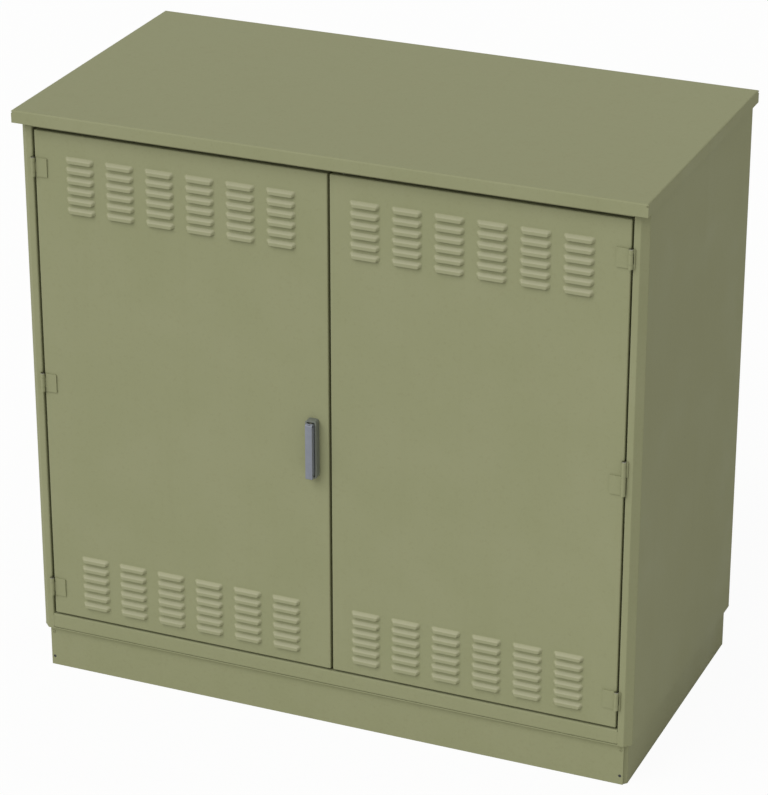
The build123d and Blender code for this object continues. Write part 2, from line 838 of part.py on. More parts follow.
def bolt_bracket(tip, direction):
    low, high = sorted(tip - direction * reach for reach in lug_from_tip)
    with BuildPart() as bracket:
        with BuildSketch(Plane.XZ.offset(-skin_back)):
            with Locations((bolt_x, (low + high) / 2)):
                Rectangle(lug_width, high - low + lug_thickness)
        extrude(amount=-sheet)
        for z in (low, high):
            with BuildSketch(Plane.XY.offset(z - lug_thickness / 2)):
                with Locations((bolt_x, bolt_y)):
                    Circle(lug_width / 2)
                with Locations((bolt_x, (skin_back + bolt_y) / 2)):
                    Rectangle(lug_width, bolt_y - skin_back)
                with Locations((bolt_x, bolt_y)):
                    Circle(bolt_radius + running_clearance, mode=Mode.SUBTRACT)
            extrude(amount=lug_thickness)
    return bracket.part


upper_bolt_end = (opening_top - keeper_clearance, 1)
lower_bolt_end = (opening_bottom + keeper_clearance, -1)
save(slide_bolt(*upper_bolt_end), "upper_slide_bolt")
save(slide_bolt(*lower_bolt_end), "lower_slide_bolt")
brackets = [bolt_bracket(*bolt_end) for bolt_end in (upper_bolt_end, lower_bolt_end)]
save(Compound(children=brackets), "bolt_brackets")


# Mounting plate with folded edges, on standoffs from the back panel
standoff_x = plate_width / 2 - standoff_inset
standoff_z = (plate_low + standoff_inset, plate_high - standoff_inset)
standoff_points = [(x, z) for x in (-standoff_x, standoff_x) for z in standoff_z]
with BuildPart() as mounting_plate:
    with BuildSketch(Plane.XZ.offset(-plate_front)):
        with Locations((0, plate_centre_z)):
            Rectangle(plate_width, plate_height)
    extrude(amount=-plate_edge)
    with BuildSketch(Plane.XZ.offset(-plate_front - plate_thickness)):
        with Locations((0, plate_centre_z)):
            Rectangle(plate_width - 2 * plate_thickness, plate_height - 2 * plate_thickness)
    extrude(amount=-plate_edge, mode=Mode.SUBTRACT)
    with BuildSketch(Plane.XZ.offset(-plate_front)):
        with Locations(*standoff_points):
            Circle(stud_radius + bolt_hole_clearance)
    extrude(amount=-plate_thickness, mode=Mode.SUBTRACT)
save(mounting_plate.part, "mounting_plate")


with BuildPart() as plate_standoffs:
    with BuildSketch(Plane.XZ.offset(-plate_front - plate_thickness)):
        with Locations(*standoff_points):
            RegularPolygon(standoff_radius, 6)
    extrude(amount=-(back_inner - plate_front - plate_thickness))
    with BuildSketch(Plane.XZ.offset(-plate_front - plate_thickness)):
        with Locations(*standoff_points):
            Circle(stud_radius)
    extrude(amount=plate_thickness + nut_height + stud_radius)
save(plate_standoffs.part, "plate_standoffs")


def hex_nuts(plane, points, hole_radius):
    with BuildPart() as nuts:
        with BuildSketch(plane):
            with Locations(*points):
                RegularPolygon(nut_width / 2, 6, major_radius=False)
                Circle(hole_radius + running_clearance, mode=Mode.SUBTRACT)
        extrude(amount=nut_height)
    return nuts.part


save(hex_nuts(Plane.XZ.offset(-plate_front), standoff_points, stud_radius), "plate_nuts")


# Fasteners: plinth bolts with nuts, gland plate screws and roof studs with nuts
plinth_points = [(x * anchor_spacing_x / 2, y * plinth_bolt_y) for x in (-1, 1) for y in (-1, 1)]
with BuildPart() as plinth_bolts:
    with BuildSketch(Plane.XY.offset(floor_top)):
        with Locations(*plinth_points):
            RegularPolygon(nut_width / 2, 6, major_radius=False)
    extrude(amount=nut_height)
    with BuildSketch(Plane.XY.offset(floor_top)):
        with Locations(*plinth_points):
            Circle(stud_radius)
    extrude(amount=-(2 * sheet + nut_height + stud_radius))
save(plinth_bolts.part, "plinth_bolts")
plinth_nut_plane = Plane.XY.offset(plinth_height - sheet - nut_height)
save(hex_nuts(plinth_nut_plane, plinth_points, stud_radius), "plinth_nuts")

gland_screw_y = (gland_opening_depth + gland_overlap) / 2
gland_points = [(x * gland_opening_width / 2, y * gland_screw_y) for x in (-1, 1) for y in (-1, 1)]
with BuildPart() as gland_screws:
    with BuildSketch(Plane.XY.offset(floor_top + sheet)):
        with Locations(*gland_points):
            RegularPolygon(screw_head_radius, 6)
    extrude(amount=screw_head_height)
    with BuildSketch(Plane.XY.offset(floor_top + sheet)):
        with Locations(*gland_points):
            Circle(screw_radius)
    extrude(amount=-(2 * sheet + screw_head_height))
save(gland_screws.part, "gland_plate_screws")

roof_y = ((front + flange / 2), (back_inner - flange / 2))
roof_points = [(x * fixing_spacing_x / 2, y) for x in (-1, 1) for y in roof_y]
with BuildPart() as roof_studs:
    with BuildSketch(Plane.XY.offset(body_top)):
        with Locations(*roof_points):
            Circle(screw_radius)
    extrude(amount=-(sheet + nut_height + screw_radius))
save(roof_studs.part, "roof_studs")
roof_nut_plane = Plane.XY.offset(body_top - sheet - nut_height)
save(hex_nuts(roof_nut_plane, roof_points, screw_radius), "roof_nuts")

with BuildPart() as earth_stud:
    with BuildSketch(Plane.XY.offset(floor_top)):
        with Locations((earth_x, earth_y)):
            Circle(stud_radius)
    extrude(amount=earth_height)
    with BuildSketch(Plane.XY.offset(floor_top)):
        with Locations((earth_x, earth_y)):
            RegularPolygon(nut_width / 2, 6)
    extrude(amount=sheet)
save(earth_stud.part, "earth_stud")
earth_nut_plane = Plane.XY.offset(floor_top + sheet)
save(hex_nuts(earth_nut_plane, [(earth_x, earth_y)], stud_radius), "earth_nut")
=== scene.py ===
import json
from math import radians

import bpy
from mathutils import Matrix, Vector


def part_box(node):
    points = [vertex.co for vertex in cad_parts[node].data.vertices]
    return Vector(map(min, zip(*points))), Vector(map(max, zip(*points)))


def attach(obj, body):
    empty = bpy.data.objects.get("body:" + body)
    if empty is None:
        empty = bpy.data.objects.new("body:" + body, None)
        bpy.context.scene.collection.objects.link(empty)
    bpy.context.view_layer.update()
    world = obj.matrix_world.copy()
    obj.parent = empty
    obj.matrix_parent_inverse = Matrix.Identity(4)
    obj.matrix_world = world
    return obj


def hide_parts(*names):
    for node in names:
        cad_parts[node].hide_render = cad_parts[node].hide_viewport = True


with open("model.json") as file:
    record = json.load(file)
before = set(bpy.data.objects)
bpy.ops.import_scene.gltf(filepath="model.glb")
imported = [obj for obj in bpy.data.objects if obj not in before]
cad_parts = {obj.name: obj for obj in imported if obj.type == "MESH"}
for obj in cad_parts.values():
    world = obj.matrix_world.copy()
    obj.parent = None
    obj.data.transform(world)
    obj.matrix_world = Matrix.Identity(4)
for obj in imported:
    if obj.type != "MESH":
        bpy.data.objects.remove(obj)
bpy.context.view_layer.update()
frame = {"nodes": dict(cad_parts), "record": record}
print("frame loaded")


# Finishes

# A screen colour of 0 to 255 as the linear colour that a shader takes
def linear(red, green, blue):
    shares = [value / 255 for value in (red, green, blue)]
    return tuple(((share + 0.055) / 1.055) ** 2.4 for share in shares) + (1.0,)


def addNode(tree, kind, **values):
    node = tree.nodes.new(kind)
    for name, value in values.items():
        if hasattr(node, name):
            setattr(node, name, value)
        else:
            node.inputs[name].default_value = value
    return node


def blendColour(tree, factor, first, second):
    mix = addNode(tree, "ShaderNodeMix", data_type="RGBA")
    tree.links.new(factor, mix.inputs[0])
    tree.links.new(first, mix.inputs[6])
    tree.links.new(second, mix.inputs[7])
    return mix.outputs[2]


def rangeOf(tree, value, low, high, newLow, newHigh):
    span = addNode(tree, "ShaderNodeMapRange", clamp=True)
    for place, number in zip((1, 2, 3, 4), (low, high, newLow, newHigh)):
        span.inputs[place].default_value = number
    tree.links.new(value, span.inputs[0])
    return span.outputs[0]


def times(tree, first, second):
    product = addNode(tree, "ShaderNodeMath", operation="MULTIPLY")
    tree.links.new(first, product.inputs[0])
    tree.links.new(second, product.inputs[1])
    return product.outputs[0]


# A group with the given inputs, and with the outputs that every finish below reads
def makeGroup(name, inputs):
    group = bpy.data.node_groups.new(name, "ShaderNodeTree")
    for label, kind, value in inputs:
        socket = group.interface.new_socket(label, in_out="INPUT", socket_type=kind)
        socket.default_value = value
    group.interface.new_socket("Colour", in_out="OUTPUT", socket_type="NodeSocketColor")
    for label in ("Roughness", "Height"):
        group.interface.new_socket(label, in_out="OUTPUT", socket_type="NodeSocketFloat")
    return group, group.nodes.new("NodeGroupInput"), group.nodes.new("NodeGroupOutput")


def noise(tree, scale, detail, roughness=0.5):
    return addNode(tree, "ShaderNodeTexNoise", Scale=scale, Detail=detail, Roughness=roughness)


paintWear = {
    "mottlingScale": 7,
    "speckleScale": 160,
    "streakStretch": (30, 30, 1.6),
    "splashHeight": 0.16,
    "roughness": (0.5, 0.68),
}


# Outdoor wear: broad mottling, rain streaks that run down and splashed dirt near the ground. It
# also lays a painted highlight, a lighter colour where a piece's own attribute says so;
# on the door louvres it stands in for the light on their upward slopes
def makeWearAndHighlight():
    size = paintWear
    group, given, result = makeGroup(
        "outdoorWearAndHighlight",
        [
            ("Colour", "NodeSocketColor", (0.5, 0.5, 0.5, 1)),
            ("Faded", "NodeSocketColor", (0.6, 0.6, 0.6, 1)),
            ("Dirt", "NodeSocketColor", (0.2, 0.2, 0.2, 1)),
            ("PaintedHighlight", "NodeSocketColor", (0.6, 0.6, 0.6, 1)),
            ("Mottling", "NodeSocketFloat", 0.5),
            ("Streaks", "NodeSocketFloat", 0.3),
            ("Splash", "NodeSocketFloat", 0.4),
            ("HighlightShare", "NodeSocketFloat", 0.5),
            ("Grain", "NodeSocketFloat", 700),
        ],
    )
    place = addNode(group, "ShaderNodeTexCoord")
    broad = noise(group, size["mottlingScale"], 4, 0.6)
    speckle = noise(group, size["speckleScale"], 3, 0.7)
    grain = addNode(group, "ShaderNodeTexNoise", Detail=2)
    group.links.new(given.outputs["Grain"], grain.inputs["Scale"])
    for texture in (broad, speckle, grain):
        group.links.new(place.outputs["Object"], texture.inputs["Vector"])
    stretch = addNode(group, "ShaderNodeMapping")
    stretch.inputs["Scale"].default_value = size["streakStretch"]
    group.links.new(place.outputs["Object"], stretch.inputs["Vector"])
    runs = noise(group, 1, 5, 0.65)
    group.links.new(stretch.outputs[0], runs.inputs["Vector"])
    axes = addNode(group, "ShaderNodeSeparateXYZ")
    group.links.new(place.outputs["Object"], axes.inputs[0])

    patches = rangeOf(group, broad.outputs[0], 0.35, 0.65, 0, 1)
    fade = times(group, patches, given.outputs["Mottling"])
    colour = blendColour(group, fade, given.outputs["Colour"], given.outputs["Faded"])
    flecks = rangeOf(group, speckle.outputs[0], 0.55, 0.75, 0, 0.5)
    fleck = times(group, flecks, given.outputs["Mottling"])
    colour = blendColour(group, fleck, colour, given.outputs["Dirt"])
    run = times(group, rangeOf(group, runs.outputs[0], 0.52, 0.8, 0, 1), given.outputs["Streaks"])
    colour = blendColour(group, run, colour, given.outputs["Dirt"])
    nearGround = rangeOf(group, axes.outputs[2], 0.0, size["splashHeight"], 1, 0)
    low = times(group, nearGround, given.outputs["Splash"])
    splash = times(group, low, rangeOf(group, speckle.outputs[0], 0.3, 0.7, 0.4, 1))
    colour = blendColour(group, splash, colour, given.outputs["Dirt"])
    # Painted highlight: lighter colour where the attribute marks the louvres' lit slopes
    highlightMask = addNode(
        group, "ShaderNodeAttribute", attribute_type="GEOMETRY", attribute_name="paintedLouvreHighlight"
    )
    highlightAmount = times(group, highlightMask.outputs["Fac"], given.outputs["HighlightShare"])
    colour = blendColour(group, highlightAmount, colour, given.outputs["PaintedHighlight"])
    group.links.new(colour, result.inputs["Colour"])
    gloss = rangeOf(group, broad.outputs[0], 0.3, 0.7, *size["roughness"])
    group.links.new(gloss, result.inputs["Roughness"])
    group.links.new(grain.outputs[0], result.inputs["Height"])
    return group


zincWear = {"cloudScale": 24, "scratchScale": 420, "roughness": (0.32, 0.5)}


# Zinc plate: cells of slightly different brightness, as spangle and handling leave them
def makeZincPlate():
    group, given, result = makeGroup(
        "zincPlate",
        [
            ("Colour", "NodeSocketColor", (0.6, 0.6, 0.6, 1)),
            ("Dull", "NodeSocketColor", (0.4, 0.4, 0.4, 1)),
            ("Cells", "NodeSocketFloat", 140),
        ],
    )
    place = addNode(group, "ShaderNodeTexCoord")
    cells = addNode(group, "ShaderNodeTexVoronoi")
    group.links.new(given.outputs["Cells"], cells.inputs["Scale"])
    cloud = noise(group, zincWear["cloudScale"], 4)
    scratch = noise(group, zincWear["scratchScale"], 3)
    for texture in (cells, cloud, scratch):
        group.links.new(place.outputs["Object"], texture.inputs["Vector"])
    share = times(group, rangeOf(group, cells.outputs["Color"], 0.2, 0.8, 0.2, 1), cloud.outputs[0])
    colour = blendColour(group, share, given.outputs["Colour"], given.outputs["Dull"])
    group.links.new(colour, result.inputs["Colour"])
    gloss = rangeOf(group, cloud.outputs[0], 0.3, 0.7, *zincWear["roughness"])
    group.links.new(gloss, result.inputs["Roughness"])
    group.links.new(scratch.outputs[0], result.inputs["Height"])
    return group


skinWear = {"rubbedScale": 55, "roughness": (0.4, 0.62)}


# Matt surfaces with their own texture: moulded plastic, cellular rubber and fleece
def makeTexturedSkin():
    group, given, result = makeGroup(
        "texturedSkin",
        [
            ("Colour", "NodeSocketColor", (0.1, 0.1, 0.1, 1)),
            ("Worn", "NodeSocketColor", (0.2, 0.2, 0.2, 1)),
            ("Texture", "NodeSocketFloat", 600),
            ("Wear", "NodeSocketFloat", 0.4),
        ],
    )
    place = addNode(group, "ShaderNodeTexCoord")
    skin = addNode(group, "ShaderNodeTexNoise", Detail=5, Roughness=0.65)
    group.links.new(given.outputs["Texture"], skin.inputs["Scale"])
    rubbed = noise(group, skinWear["rubbedScale"], 3)
    for texture in (skin, rubbed):
        group.links.new(place.outputs["Object"], texture.inputs["Vector"])
    share = times(group, rangeOf(group, rubbed.outputs[0], 0.35, 0.7, 0, 1), given.outputs["Wear"])
    colour = blendColour(group, share, given.outputs["Colour"], given.outputs["Worn"])
    group.links.new(colour, result.inputs["Colour"])
    gloss = rangeOf(group, rubbed.outputs[0], 0.3, 0.7, *skinWear["roughness"])
    group.links.new(gloss, result.inputs["Roughness"])
    group.links.new(skin.outputs[0], result.inputs["Height"])
    return group


groups = {"wearAndHighlight": makeWearAndHighlight(), "zinc": makeZincPlate(), "skin": makeTexturedSkin()}

finishes = {
    "painted_sheet": {
        "group": "wearAndHighlight", "metallic": 0, "specular": 0.04, "relief": 0.06, "depth": 0.0004,
        "Colour": linear(144, 146, 113), "Faded": linear(149, 150, 119),
        # The last of these colours is the painted highlight of the louvres' lit slopes
        "Dirt": linear(129, 127, 94), "PaintedHighlight": linear(196, 192, 168),
        "Mottling": 0.5, "Streaks": 0.1, "Splash": 0.14, "HighlightShare": 0.4, "Grain": 650,
    },
    "zinc_sheet": {
        "group": "zinc", "metallic": 1, "relief": 0.05, "depth": 0.0003,
        "Colour": linear(190, 194, 196), "Dull": linear(150, 153, 154), "Cells": 110,
    },
    "zinc_steel": {
        "group": "zinc", "metallic": 1, "relief": 0.05, "depth": 0.0002,
        "Colour": linear(158, 157, 144), "Dull": linear(112, 110, 98), "Cells": 400,
    },
    "seal_rubber": {
        "group": "skin", "metallic": 0, "relief": 0.4, "depth": 0.0005,
        "Colour": linear(30, 30, 31), "Worn": linear(46, 46, 45), "Texture": 900, "Wear": 0.5,
    },
    "filter_fleece": {
        "group": "skin", "metallic": 0, "relief": 0.9, "depth": 0.001,
        "Colour": linear(176, 176, 170), "Worn": linear(138, 136, 126),
        "Texture": 500, "Wear": 0.7,
    },
    "handle_base": {
        "group": "skin", "metallic": 0, "relief": 0.2, "depth": 0.0002,
        "Colour": linear(106, 110, 101), "Worn": linear(120, 123, 115),
        "Texture": 1500, "Wear": 0.5,
    },
    "handle_lever": {
        "group": "skin", "metallic": 0, "relief": 0.12, "depth": 0.0002,
        "Colour": linear(120, 124, 135), "Worn": linear(132, 136, 146),
        "Texture": 1700, "Wear": 0.5,
    },
}


def makeFinish(name, look):
    material = bpy.data.materials.new(name)
    material.use_nodes = True
    tree = material.node_tree
    shader = tree.nodes["Principled BSDF"]
    shader.inputs["Metallic"].default_value = look["metallic"]
    shader.inputs["Specular IOR Level"].default_value = look.get("specular", 0.5)
    effect = addNode(tree, "ShaderNodeGroup", node_tree=groups[look["group"]])
    for socket in effect.inputs:
        socket.default_value = look[socket.name]
    bump = addNode(tree, "ShaderNodeBump", Strength=look["relief"], Distance=look["depth"])
    tree.links.new(effect.outputs["Colour"], shader.inputs["Base Color"])
    tree.links.new(effect.outputs["Roughness"], shader.inputs["Roughness"])
    tree.links.new(effect.outputs["Height"], bump.inputs["Height"])
    tree.links.new(bump.outputs["Normal"], shader.inputs["Normal"])
    return material


materials = {name: makeFinish(name, look) for name, look in finishes.items()}

# Every CAD node starts with its finish, and those that no piece replaces keep it
for entry in frame["record"]["subparts"]:
    node = frame["nodes"][entry["node"]]
    if not node.material_slots:
        node.data.materials.append(None)
    for holder in node.material_slots:
        holder.material = materials[entry["material_slot"]]
print("finishes made")


# Ways of picking and shaping that the pieces below share

sameSpot = 1e-5  # points closer than this are in one place
longEdge = 0.01  # edges longer than this run along a piece, and aren't part of a rounding
pastEdge = 0.01  # how far a cutter reaches past what it opens
facing = 0.9  # a face turns to a side when its normal has this share of it
facingFully = 0.98  # and is flat to it, as the underside of a louvre is, when it has this


def deselectAll():
    bpy.ops.object.select_all(action="DESELECT")


def makeActive(piece):
    deselectAll()
    piece.select_set(True)
    bpy.context.view_layer.objects.active = piece


def middleOf(node):
    low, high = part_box(node)
    return (low + high) / 2


def block(name, low, high):
    deselectAll()
    low, high = Vector(low), Vector(high)
    bpy.ops.mesh.primitive_cube_add(size=1, location=(low + high) / 2)
    piece = bpy.context.object
    piece.name = piece.data.name = name
    piece.scale = high - low
    bpy.ops.object.transform_apply(location=True, rotation=True, scale=True)
    return piece


def sheetFacingFront(name, left, right, low, high, y):
    deselectAll()
    bpy.ops.mesh.primitive_plane_add(
        size=1, location=((left + right) / 2, y, (low + high) / 2), rotation=(radians(90), 0, 0)
    )
    piece = bpy.context.object
    piece.name = piece.data.name = name
    piece.scale = (right - left, high - low, 1)
    bpy.ops.object.transform_apply(location=True, rotation=True, scale=True)
    return piece


# A cylinder along Y, by its middle
def cylinderFacingFront(name, radius, length, middle, sides):
    deselectAll()
    bpy.ops.mesh.primitive_cylinder_add(
        vertices=sides, radius=radius, depth=length, location=middle, rotation=(radians(90), 0, 0)
    )
    piece = bpy.context.object
    piece.name = piece.data.name = name
    bpy.ops.object.transform_apply(location=True, rotation=True, scale=True)
    return piece


# Each of these leaves edit mode on, with what was asked for selected
def clearPick(mode):
    bpy.ops.object.mode_set(mode="EDIT")
    bpy.ops.mesh.select_mode(type=mode)
    bpy.ops.mesh.select_all(action="DESELECT")
    bpy.ops.object.mode_set(mode="OBJECT")


def pickFaces(piece, wanted):
    clearPick("FACE")
    for face in piece.data.polygons:
        face.select = bool(wanted(face.center, face.normal))
    bpy.ops.object.mode_set(mode="EDIT")


def pickEdges(piece, wanted):
    clearPick("EDGE")
    points = piece.data.vertices
    for edge in piece.data.edges:
        first, second = (points[index].co for index in edge.vertices)
        edge.select = bool(wanted(first, second))
    bpy.ops.object.mode_set(mode="EDIT")


def pickPoints(piece, wanted):
    clearPick("VERT")
    for point in piece.data.vertices:
        point.select = bool(wanted(point.co))
    bpy.ops.object.mode_set(mode="EDIT")


# Picks the edges that lie in one plane across Y
def atDepth(y):
    return lambda a, b: abs(a.y - y) < sameSpot and abs(b.y - y) < sameSpot


def roundEdges(piece, wanted, radius, segments=3):
    pickEdges(piece, wanted)
    bpy.ops.mesh.bevel(offset=radius, segments=segments, affect="EDGES", clamp_overlap=True)
    bpy.ops.object.mode_set(mode="OBJECT")


def applyModifier(piece, kind, **values):
    makeActive(piece)
    modifier = piece.modifiers.new(kind.lower(), kind)
    for name, value in values.items():
        setattr(modifier, name, value)
    bpy.ops.object.modifier_apply(modifier=modifier.name)


def cutAway(piece, cutters):
    for cutter in cutters:
        applyModifier(piece, "BOOLEAN", operation="DIFFERENCE", object=cutter, solver="EXACT")
        bpy.data.objects.remove(cutter)


def joinPieces(pieces):
    deselectAll()
    for piece in pieces:
        piece.select_set(True)
    bpy.context.view_layer.objects.active = pieces[0]
    bpy.ops.object.join()


def mergeAndTurnOut(piece):
    makeActive(piece)
    bpy.ops.object.mode_set(mode="EDIT")
    bpy.ops.mesh.select_all(action="SELECT")
    bpy.ops.mesh.remove_doubles(threshold=sameSpot)
    bpy.ops.mesh.normals_make_consistent(inside=False)
    bpy.ops.object.mode_set(mode="OBJECT")


def dress(piece, body, slotName, replaced=None):
    piece.data.materials.clear()
    piece.data.materials.append(materials[slotName])
    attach(piece, body)
    if replaced:
        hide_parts(replaced)


def finishPiece(piece, body, slotName, replaced=None, angle=35):
    mergeAndTurnOut(piece)
    bpy.ops.object.shade_smooth_by_angle(angle=radians(angle))
    dress(piece, body, slotName, replaced)


# Door skins: one pressed sheet each, with louvres, rounded folds and returns

doorSkin = {
    "thickness": 0.0015,
    "foldRadius": 0.0024,
    "returnWidth": 0.018,
    "bankFromMiddle": 0.2795,
    "upperBankDrop": 0.1016,
    "lowerBankRise": 0.0746,
    "columns": 6,
    "rows": 6,
    "pitchAcross": 0.0796,
    "pitchUp": 0.0194,
    "louvreWidth": 0.058,
    "louvreHeight": 0.0113,
    "louvreLift": 0.005,
    "louvreReach": 0.006,
    "louvreSlope": 0.0025,
    "louvreFront": 0.046,
    "cornerCut": 0.003,
    "pressRadius": 0.003,
    "creaseAngle": radians(12),
    "hingeSideSpread": 0.0012,
    "rodWidth": 0.012,
    "bossHole": 0.0081,
    "bossHoleSpan": (0.004, 0.012),
    "holePlay": 0.0003,
    "holeRise": 0.004,
    "smoothAngle": radians(38),
}

# How proud of the sheet and how steep a point has to be to take all of the painted highlight, and
# the least share, which the louvres' fronts and the shaded parts under them take
louvreHighlight = {"proud": 0.0015, "slopeFrom": 0.1, "slopeSpan": 0.45, "least": 0.3}


def doorFront():
    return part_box("left_door_skin")[0].y + doorSkin["louvreReach"]


def louvrePlaces(low, high, hand):
    size = doorSkin
    across = [
        hand * size["bankFromMiddle"] + (column - (size["columns"] - 1) / 2) * size["pitchAcross"]
        for column in range(size["columns"])
    ]
    up = [
        bank + size["louvreLift"] + (row - (size["rows"] - 1) / 2) * size["pitchUp"]
        for bank in (high.z - size["upperBankDrop"], low.z + size["lowerBankRise"])
        for row in range(size["rows"])
    ]
    return across, up


def markOutLouvres(skin, across, up):
    halfWidth = doorSkin["louvreWidth"] / 2
    halfHeight = doorSkin["louvreHeight"] / 2
    bpy.ops.object.mode_set(mode="EDIT")
    for middle in across:
        for x in (middle - halfWidth, middle + halfWidth):
            bpy.ops.mesh.select_all(action="SELECT")
            bpy.ops.mesh.bisect(plane_co=(x, 0, 0), plane_no=(1, 0, 0))
    for middle in up:
        for z in (middle - halfHeight, middle + halfHeight):
            bpy.ops.mesh.select_all(action="SELECT")
            bpy.ops.mesh.bisect(plane_co=(0, 0, z), plane_no=(0, 0, 1))
    bpy.ops.object.mode_set(mode="OBJECT")

    # The corners of each louvre are cut off, so that it is round at the ends, as its mouth is
    def onCorner(point):
        atEnd = min(abs(abs(point.x - x) - halfWidth) for x in across) < sameSpot
        return atEnd and min(abs(abs(point.z - z) - halfHeight) for z in up) < sameSpot

    pickPoints(skin, onCorner)
    bpy.ops.mesh.bevel(
        offset=doorSkin["cornerCut"], segments=1, affect="VERTICES", clamp_overlap=True
    )
    bpy.ops.object.mode_set(mode="OBJECT")


def pressLouvres(skin, across, up, low):
    reach = doorSkin["louvreReach"]
    slope = doorSkin["louvreSlope"]
    halfway = low.y + reach / 2
    sameLouvre = 0.002  # how far the middle of a louvre's face may lie from the louvre's own

    def onLouvre(centre, normal):
        inColumn = min(abs(centre.x - x) for x in across) < sameLouvre
        return inColumn and min(abs(centre.z - z) for z in up) < sameLouvre

    # The louvre's front is pushed out and let down until its lower edge is level with the mouth
    pickFaces(skin, onLouvre)
    bpy.ops.mesh.inset(thickness=slope, depth=reach, use_individual=True)
    bpy.ops.transform.translate(value=(0, 0, -slope))
    bpy.ops.object.mode_set(mode="OBJECT")

    # All fronts of a column are narrowed together, about the middle of the column
    narrower = doorSkin["louvreFront"] / (doorSkin["louvreWidth"] - 2 * slope)
    for x in across:
        def onFront(centre, normal):
            return centre.y < halfway and abs(centre.x - x) < sameLouvre and normal.y < -facing

        pickFaces(skin, onFront)
        bpy.ops.transform.resize(value=(narrower, 1, 1), center_override=(x, low.y, 0))
        bpy.ops.object.mode_set(mode="OBJECT")

    # The flat undersides are opened as mouths, and the creases that are left are rounded
    pickFaces(skin, lambda centre, normal: normal.z < -facingFully)
    bpy.ops.mesh.delete(type="FACE")
    bpy.ops.mesh.select_mode(type="EDGE")
    bpy.ops.mesh.select_all(action="DESELECT")
    bpy.ops.mesh.edges_select_sharp(sharpness=doorSkin["creaseAngle"])
    bpy.ops.mesh.bevel(
        offset=doorSkin["pressRadius"], segments=4, affect="EDGES", clamp_overlap=True
    )
    bpy.ops.object.mode_set(mode="OBJECT")


# The rim is folded back and then inwards, and both folds and the corners are rounded
def foldRim(skin, low, high):
    def onRim(first, second):
        for axis in (0, 2):
            for end in (low[axis], high[axis]):
                if abs(first[axis] - end) < sameSpot and abs(second[axis] - end) < sameSpot:
                    return True
        return False

    def onCorner(first, second):
        atX = min(abs(first.x - low.x), abs(first.x - high.x)) < sameSpot
        atZ = min(abs(first.z - low.z), abs(first.z - high.z)) < sameSpot
        straightBack = (first - second).xz.length < sameSpot
        return atX and atZ and straightBack and abs(first.y - second.y) > longEdge

    def onFold(first, second):
        sameDepth = abs(first.y - second.y) < sameSpot
        return onCorner(first, second) or (sameDepth and onRim(first, second))

    backwards = high.y - (low.y + doorSkin["louvreReach"])
    lip = 2 * doorSkin["returnWidth"]
    inwards = (1 - lip / (high.x - low.x), 1, 1 - lip / (high.z - low.z))
    backMiddle = Vector(((low.x + high.x) / 2, high.y, (low.z + high.z) / 2))
    pickEdges(skin, onRim)
    bpy.ops.mesh.extrude_region_move(TRANSFORM_OT_translate={"value": (0, backwards, 0)})
    bpy.ops.mesh.extrude_region_move()
    bpy.ops.transform.resize(value=inwards, center_override=backMiddle)
    bpy.ops.object.mode_set(mode="OBJECT")
    roundEdges(skin, onFold, doorSkin["foldRadius"])


# Painted highlight on the louvre hoods: their upward slopes are marked as lit from above, and their
# fronts and the shade under them are lightened a little
def paintLouvreHighlight(skin):
    sheetFront = doorFront()
    least = louvreHighlight["least"]
    highlight = skin.data.attributes.new("paintedLouvreHighlight", "FLOAT", "POINT")
    for point in skin.data.vertices:
        proud = min(max((sheetFront - point.co.y) / louvreHighlight["proud"], 0), 1)
        slope = (point.normal.z - louvreHighlight["slopeFrom"]) / louvreHighlight["slopeSpan"]
        upward = min(max(slope, 0), 1)
        highlight.data[point.index].value = proud * (least + (1 - least) * upward)


def makeDoorSkin(side, hand, holes):
    node = side + "_door_skin"
    low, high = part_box(node)
    if hand > 0:
        high.x += doorSkin["hingeSideSpread"]
    across, up = louvrePlaces(low, high, hand)
    front = low.y + doorSkin["louvreReach"]
    skin = sheetFacingFront(side + "DoorSkin", low.x, high.x, low.z, high.z, front)
    markOutLouvres(skin, across, up)
    pressLouvres(skin, across, up, low)
    foldRim(skin, low, high)
    mergeAndTurnOut(skin)

    # An open sheet has no inside, so the door's front is turned to the front if it isn't yet
    if sum(face.normal.y * face.area for face in skin.data.polygons) > 0:
        bpy.ops.object.mode_set(mode="EDIT")
        bpy.ops.mesh.flip_normals()
        bpy.ops.object.mode_set(mode="OBJECT")
    thickness = doorSkin["thickness"]
    applyModifier(skin, "SOLIDIFY", thickness=thickness, offset=-1, use_even_offset=True)
    cutAway(skin, [block(f"{side}Hole{index}", *corners) for index, corners in enumerate(holes)])
    makeActive(skin)
    bpy.ops.object.shade_smooth_by_angle(angle=doorSkin["smoothAngle"])
    applyModifier(skin, "WEIGHTED_NORMAL", keep_sharp=True)
    paintLouvreHighlight(skin)
    dress(skin, side + "_door", "painted_sheet", node)


def holeThrough(low, high, z):
    play = doorSkin["holePlay"]
    rise = doorSkin["holeRise"]
    return (low.x - play, low.y - play, z - rise), (high.x + play, high.y + play, z + rise)


# A rod is wider at its slot than where it passes through the skin
def narrowEnd(low, high):
    middle = (low.x + high.x) / 2
    half = doorSkin["rodWidth"] / 2
    return Vector((middle - half, low.y, low.z)), Vector((middle + half, high.y, high.z))


